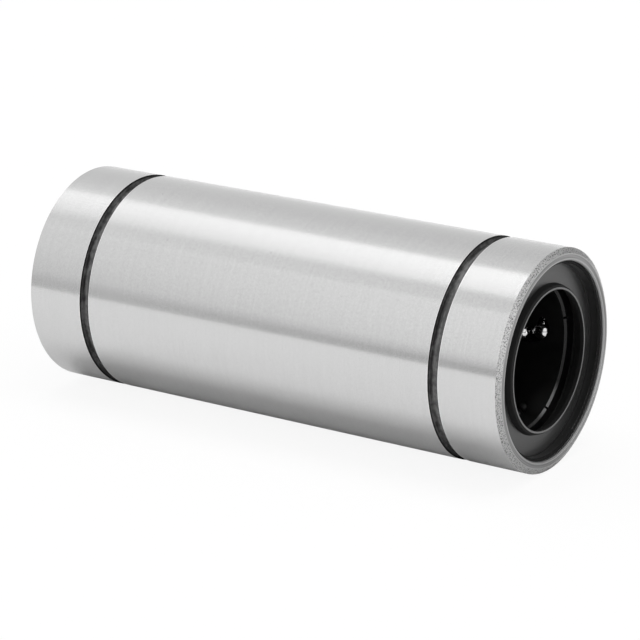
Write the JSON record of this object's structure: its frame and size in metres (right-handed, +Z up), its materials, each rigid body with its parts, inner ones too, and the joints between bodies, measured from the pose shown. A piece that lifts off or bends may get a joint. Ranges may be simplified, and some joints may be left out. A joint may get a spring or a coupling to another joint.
{
  "type": "linear bearing",
  "caption": "Long sealed linear ball bearing: a ground steel sleeve with two snap-ring grooves, recirculating balls in resin retainers and a rubber seal in each end, guiding a round shaft.",
  "frame": {"origin": "centre of the bearing, on the shaft axis", "axes": "+X along the shaft axis towards the end that the picture shows, +Y square to the shaft, 4 degrees round it from the first loaded ball row of each half, +Z up"},
  "size_m": [0.08, 0.032, 0.032],
  "materials": {
    "bearing_steel": "ground",
    "ball_steel": "lapped",
    "retainer_resin": "moulded",
    "spring_steel": "phosphated",
    "insert_steel": "pressed",
    "seal_rubber": "moulded"
  },
  "bodies": {
    "bearing_body": {"outer_sleeve": "bearing_steel", "retainer_front": "retainer_resin", "retaining_ring_front": "spring_steel", "seal_insert_front": "insert_steel", "seal_lip_front": "seal_rubber", "retainer_rear": "retainer_resin", "retaining_ring_rear": "spring_steel", "seal_insert_rear": "insert_steel", "seal_lip_rear": "seal_rubber"},
    "front_load_balls_1_body": {"front_load_balls_1": "ball_steel"},
    "front_return_balls_1_body": {"front_return_balls_1": "ball_steel"},
    "front_outer_turn_balls_1_body": {"front_outer_turn_balls_1": "ball_steel"},
    "front_inner_turn_balls_1_body": {"front_inner_turn_balls_1": "ball_steel"},
    "front_load_balls_2_body": {"front_load_balls_2": "ball_steel"},
    "front_return_balls_2_body": {"front_return_balls_2": "ball_steel"},
    "front_outer_turn_balls_2_body": {"front_outer_turn_balls_2": "ball_steel"},
    "front_inner_turn_balls_2_body": {"front_inner_turn_balls_2": "ball_steel"},
    "front_load_balls_3_body": {"front_load_balls_3": "ball_steel"},
    "front_return_balls_3_body": {"front_return_balls_3": "ball_steel"},
    "front_outer_turn_balls_3_body": {"front_outer_turn_balls_3": "ball_steel"},
    "front_inner_turn_balls_3_body": {"front_inner_turn_balls_3": "ball_steel"},
    "front_load_balls_4_body": {"front_load_balls_4": "ball_steel"},
    "front_return_balls_4_body": {"front_return_balls_4": "ball_steel"},
    "front_outer_turn_balls_4_body": {"front_outer_turn_balls_4": "ball_steel"},
    "front_inner_turn_balls_4_body": {"front_inner_turn_balls_4": "ball_steel"},
    "front_load_balls_5_body": {"front_load_balls_5": "ball_steel"},
    "front_return_balls_5_body": {"front_return_balls_5": "ball_steel"},
    "front_outer_turn_balls_5_body": {"front_outer_turn_balls_5": "ball_steel"},
    "front_inner_turn_balls_5_body": {"front_inner_turn_balls_5": "ball_steel"},
    "rear_load_balls_1_body": {"rear_load_balls_1": "ball_steel"},
    "rear_return_balls_1_body": {"rear_return_balls_1": "ball_steel"},
    "rear_outer_turn_balls_1_body": {"rear_outer_turn_balls_1": "ball_steel"},
    "rear_inner_turn_balls_1_body": {"rear_inner_turn_balls_1": "ball_steel"},
    "rear_load_balls_2_body": {"rear_load_balls_2": "ball_steel"},
    "rear_return_balls_2_body": {"rear_return_balls_2": "ball_steel"},
    "rear_outer_turn_balls_2_body": {"rear_outer_turn_balls_2": "ball_steel"},
    "rear_inner_turn_balls_2_body": {"rear_inner_turn_balls_2": "ball_steel"},
    "rear_load_balls_3_body": {"rear_load_balls_3": "ball_steel"},
    "rear_return_balls_3_body": {"rear_return_balls_3": "ball_steel"},
    "rear_outer_turn_balls_3_body": {"rear_outer_turn_balls_3": "ball_steel"},
    "rear_inner_turn_balls_3_body": {"rear_inner_turn_balls_3": "ball_steel"},
    "rear_load_balls_4_body": {"rear_load_balls_4": "ball_steel"},
    "rear_return_balls_4_body": {"rear_return_balls_4": "ball_steel"},
    "rear_outer_turn_balls_4_body": {"rear_outer_turn_balls_4": "ball_steel"},
    "rear_inner_turn_balls_4_body": {"rear_inner_turn_balls_4": "ball_steel"},
    "rear_load_balls_5_body": {"rear_load_balls_5": "ball_steel"},
    "rear_return_balls_5_body": {"rear_return_balls_5": "ball_steel"},
    "rear_outer_turn_balls_5_body": {"rear_outer_turn_balls_5": "ball_steel"},
    "rear_inner_turn_balls_5_body": {"rear_inner_turn_balls_5": "ball_steel"}
  },
  "joints": [
    {"name": "front_load_roll_1", "type": "slide", "parent": "bearing_body", "child": "front_load_balls_1_body", "axis": [1, 0, 0], "range_m": [-0.00179, 0.00179]},
    {"name": "front_return_roll_1", "type": "slide", "parent": "bearing_body", "child": "front_return_balls_1_body", "axis": [1, 0, 0], "range_m": [-0.00179, 0.00179]},
    {"name": "front_outer_turn_roll_1", "type": "hinge", "parent": "bearing_body", "child": "front_outer_turn_balls_1_body", "pos_m": [0.03007, 0.01172, 0.00147], "axis": [0, 0.9976, -0.0698], "range_deg": [-45, 45]},
    {"name": "front_inner_turn_roll_1", "type": "hinge", "parent": "bearing_body", "child": "front_inner_turn_balls_1_body", "pos_m": [0.005, 0.01172, 0.00147], "axis": [0, 0.9976, -0.0698], "range_deg": [-45, 45]},
    {"name": "front_load_roll_2", "type": "slide", "parent": "bearing_body", "child": "front_load_balls_2_body", "axis": [1, 0, 0], "range_m": [-0.00179, 0.00179]},
    {"name": "front_return_roll_2", "type": "slide", "parent": "bearing_body", "child": "front_return_balls_2_body", "axis": [1, 0, 0], "range_m": [-0.00179, 0.00179]},
    {"name": "front_outer_turn_roll_2", "type": "hinge", "parent": "bearing_body", "child": "front_outer_turn_balls_2_body", "pos_m": [0.03007, 0.00223, 0.0116], "axis": [0, 0.3746, 0.9272], "range_deg": [-45, 45]},
    {"name": "front_inner_turn_roll_2", "type": "hinge", "parent": "bearing_body", "child": "front_inner_turn_balls_2_body", "pos_m": [0.005, 0.00223, 0.0116], "axis": [0, 0.3746, 0.9272], "range_deg": [-45, 45]},
    {"name": "front_load_roll_3", "type": "slide", "parent": "bearing_body", "child": "front_load_balls_3_body", "axis": [1, 0, 0], "range_m": [-0.00179, 0.00179]},
    {"name": "front_return_roll_3", "type": "slide", "parent": "bearing_body", "child": "front_return_balls_3_body", "axis": [1, 0, 0], "range_m": [-0.00179, 0.00179]},
    {"name": "front_outer_turn_roll_3", "type": "hinge", "parent": "bearing_body", "child": "front_outer_turn_balls_3_body", "pos_m": [0.03007, -0.01034, 0.0057], "axis": [0, -0.766, 0.6428], "range_deg": [-45, 45]},
    {"name": "front_inner_turn_roll_3", "type": "hinge", "parent": "bearing_body", "child": "front_inner_turn_balls_3_body", "pos_m": [0.005, -0.01034, 0.0057], "axis": [0, -0.766, 0.6428], "range_deg": [-45, 45]},
    {"name": "front_load_roll_4", "type": "slide", "parent": "bearing_body", "child": "front_load_balls_4_body", "axis": [1, 0, 0], "range_m": [-0.00179, 0.00179]},
    {"name": "front_return_roll_4", "type": "slide", "parent": "bearing_body", "child": "front_return_balls_4_body", "axis": [1, 0, 0], "range_m": [-0.00179, 0.00179]},
    {"name": "front_outer_turn_roll_4", "type": "hinge", "parent": "bearing_body", "child": "front_outer_turn_balls_4_body", "pos_m": [0.03007, -0.00862, -0.00807], "axis": [0, -0.848, -0.5299], "range_deg": [-45, 45]},
    {"name": "front_inner_turn_roll_4", "type": "hinge", "parent": "bearing_body", "child": "front_inner_turn_balls_4_body", "pos_m": [0.005, -0.00862, -0.00807], "axis": [0, -0.848, -0.5299], "range_deg": [-45, 45]},
    {"name": "front_load_roll_5", "type": "slide", "parent": "bearing_body", "child": "front_load_balls_5_body", "axis": [1, 0, 0], "range_m": [-0.00179, 0.00179]},
    {"name": "front_return_roll_5", "type": "slide", "parent": "bearing_body", "child": "front_return_balls_5_body", "axis": [1, 0, 0], "range_m": [-0.00179, 0.00179]},
    {"name": "front_outer_turn_roll_5", "type": "hinge", "parent": "bearing_body", "child": "front_outer_turn_balls_5_body", "pos_m": [0.03007, 0.00502, -0.01069], "axis": [0, 0.2419, -0.9703], "range_deg": [-45, 45]},
    {"name": "front_inner_turn_roll_5", "type": "hinge", "parent": "bearing_body", "child": "front_inner_turn_balls_5_body", "pos_m": [0.005, 0.00502, -0.01069], "axis": [0, 0.2419, -0.9703], "range_deg": [-45, 45]},
    {"name": "rear_load_roll_1", "type": "slide", "parent": "bearing_body", "child": "rear_load_balls_1_body", "axis": [1, 0, 0], "range_m": [-0.00179, 0.00179]},
    {"name": "rear_return_roll_1", "type": "slide", "parent": "bearing_body", "child": "rear_return_balls_1_body", "axis": [1, 0, 0], "range_m": [-0.00179, 0.00179]},
    {"name": "rear_outer_turn_roll_1", "type": "hinge", "parent": "bearing_body", "child": "rear_outer_turn_balls_1_body", "pos_m": [-0.03007, 0.01172, -0.00147], "axis": [0, 0.9976, 0.0698], "range_deg": [-45, 45]},
    {"name": "rear_inner_turn_roll_1", "type": "hinge", "parent": "bearing_body", "child": "rear_inner_turn_balls_1_body", "pos_m": [-0.005, 0.01172, -0.00147], "axis": [0, 0.9976, 0.0698], "range_deg": [-45, 45]},
    {"name": "rear_load_roll_2", "type": "slide", "parent": "bearing_body", "child": "rear_load_balls_2_body", "axis": [1, 0, 0], "range_m": [-0.00179, 0.00179]},
    {"name": "rear_return_roll_2", "type": "slide", "parent": "bearing_body", "child": "rear_return_balls_2_body", "axis": [1, 0, 0], "range_m": [-0.00179, 0.00179]},
    {"name": "rear_outer_turn_roll_2", "type": "hinge", "parent": "bearing_body", "child": "rear_outer_turn_balls_2_body", "pos_m": [-0.03007, 0.00223, -0.0116], "axis": [0, 0.3746, -0.9272], "range_deg": [-45, 45]},
    {"name": "rear_inner_turn_roll_2", "type": "hinge", "parent": "bearing_body", "child": "rear_inner_turn_balls_2_body", "pos_m": [-0.005, 0.00223, -0.0116], "axis": [0, 0.3746, -0.9272], "range_deg": [-45, 45]},
    {"name": "rear_load_roll_3", "type": "slide", "parent": "bearing_body", "child": "rear_load_balls_3_body", "axis": [1, 0, 0], "range_m": [-0.00179, 0.00179]},
    {"name": "rear_return_roll_3", "type": "slide", "parent": "bearing_body", "child": "rear_return_balls_3_body", "axis": [1, 0, 0], "range_m": [-0.00179, 0.00179]},
    {"name": "rear_outer_turn_roll_3", "type": "hinge", "parent": "bearing_body", "child": "rear_outer_turn_balls_3_body", "pos_m": [-0.03007, -0.01034, -0.0057], "axis": [0, -0.766, -0.6428], "range_deg": [-45, 45]},
    {"name": "rear_inner_turn_roll_3", "type": "hinge", "parent": "bearing_body", "child": "rear_inner_turn_balls_3_body", "pos_m": [-0.005, -0.01034, -0.0057], "axis": [0, -0.766, -0.6428], "range_deg": [-45, 45]},
    {"name": "rear_load_roll_4", "type": "slide", "parent": "bearing_body", "child": "rear_load_balls_4_body", "axis": [1, 0, 0], "range_m": [-0.00179, 0.00179]},
    {"name": "rear_return_roll_4", "type": "slide", "parent": "bearing_body", "child": "rear_return_balls_4_body", "axis": [1, 0, 0], "range_m": [-0.00179, 0.00179]},
    {"name": "rear_outer_turn_roll_4", "type": "hinge", "parent": "bearing_body", "child": "rear_outer_turn_balls_4_body", "pos_m": [-0.03007, -0.00862, 0.00807], "axis": [0, -0.848, 0.5299], "range_deg": [-45, 45]},
    {"name": "rear_inner_turn_roll_4", "type": "hinge", "parent": "bearing_body", "child": "rear_inner_turn_balls_4_body", "pos_m": [-0.005, -0.00862, 0.00807], "axis": [0, -0.848, 0.5299], "range_deg": [-45, 45]},
    {"name": "rear_load_roll_5", "type": "slide", "parent": "bearing_body", "child": "rear_load_balls_5_body", "axis": [1, 0, 0], "range_m": [-0.00179, 0.00179]},
    {"name": "rear_return_roll_5", "type": "slide", "parent": "bearing_body", "child": "rear_return_balls_5_body", "axis": [1, 0, 0], "range_m": [-0.00179, 0.00179]},
    {"name": "rear_outer_turn_roll_5", "type": "hinge", "parent": "bearing_body", "child": "rear_outer_turn_balls_5_body", "pos_m": [-0.03007, 0.00502, 0.01069], "axis": [0, 0.2419, 0.9703], "range_deg": [-45, 45]},
    {"name": "rear_inner_turn_roll_5", "type": "hinge", "parent": "bearing_body", "child": "rear_inner_turn_balls_5_body", "pos_m": [-0.005, 0.00502, 0.01069], "axis": [0, 0.2419, 0.9703], "range_deg": [-45, 45]}
  ],
  "couplings": [
    {"joint": "front_return_roll_1", "follows": "front_load_roll_1", "ratio": -1},
    {"joint": "front_outer_turn_roll_1", "follows": "front_load_roll_1", "rad_per_m": -438.6},
    {"joint": "front_inner_turn_roll_1", "follows": "front_load_roll_1", "rad_per_m": -438.6},
    {"joint": "front_return_roll_2", "follows": "front_load_roll_2", "ratio": -1},
    {"joint": "front_outer_turn_roll_2", "follows": "front_load_roll_2", "rad_per_m": -438.6},
    {"joint": "front_inner_turn_roll_2", "follows": "front_load_roll_2", "rad_per_m": -438.6},
    {"joint": "front_return_roll_3", "follows": "front_load_roll_3", "ratio": -1},
    {"joint": "front_outer_turn_roll_3", "follows": "front_load_roll_3", "rad_per_m": -438.6},
    {"joint": "front_inner_turn_roll_3", "follows": "front_load_roll_3", "rad_per_m": -438.6},
    {"joint": "front_return_roll_4", "follows": "front_load_roll_4", "ratio": -1},
    {"joint": "front_outer_turn_roll_4", "follows": "front_load_roll_4", "rad_per_m": -438.6},
    {"joint": "front_inner_turn_roll_4", "follows": "front_load_roll_4", "rad_per_m": -438.6},
    {"joint": "front_return_roll_5", "follows": "front_load_roll_5", "ratio": -1},
    {"joint": "front_outer_turn_roll_5", "follows": "front_load_roll_5", "rad_per_m": -438.6},
    {"joint": "front_inner_turn_roll_5", "follows": "front_load_roll_5", "rad_per_m": -438.6},
    {"joint": "rear_return_roll_1", "follows": "rear_load_roll_1", "ratio": -1},
    {"joint": "rear_outer_turn_roll_1", "follows": "rear_load_roll_1", "rad_per_m": 438.6},
    {"joint": "rear_inner_turn_roll_1", "follows": "rear_load_roll_1", "rad_per_m": 438.6},
    {"joint": "rear_return_roll_2", "follows": "rear_load_roll_2", "ratio": -1},
    {"joint": "rear_outer_turn_roll_2", "follows": "rear_load_roll_2", "rad_per_m": 438.6},
    {"joint": "rear_inner_turn_roll_2", "follows": "rear_load_roll_2", "rad_per_m": 438.6},
    {"joint": "rear_return_roll_3", "follows": "rear_load_roll_3", "ratio": -1},
    {"joint": "rear_outer_turn_roll_3", "follows": "rear_load_roll_3", "rad_per_m": 438.6},
    {"joint": "rear_inner_turn_roll_3", "follows": "rear_load_roll_3", "rad_per_m": 438.6},
    {"joint": "rear_return_roll_4", "follows": "rear_load_roll_4", "ratio": -1},
    {"joint": "rear_outer_turn_roll_4", "follows": "rear_load_roll_4", "rad_per_m": 438.6},
    {"joint": "rear_inner_turn_roll_4", "follows": "rear_load_roll_4", "rad_per_m": 438.6},
    {"joint": "rear_return_roll_5", "follows": "rear_load_roll_5", "ratio": -1},
    {"joint": "rear_outer_turn_roll_5", "follows": "rear_load_roll_5", "rad_per_m": 438.6},
    {"joint": "rear_inner_turn_roll_5", "follows": "rear_load_roll_5", "rad_per_m": 438.6}
  ]
}
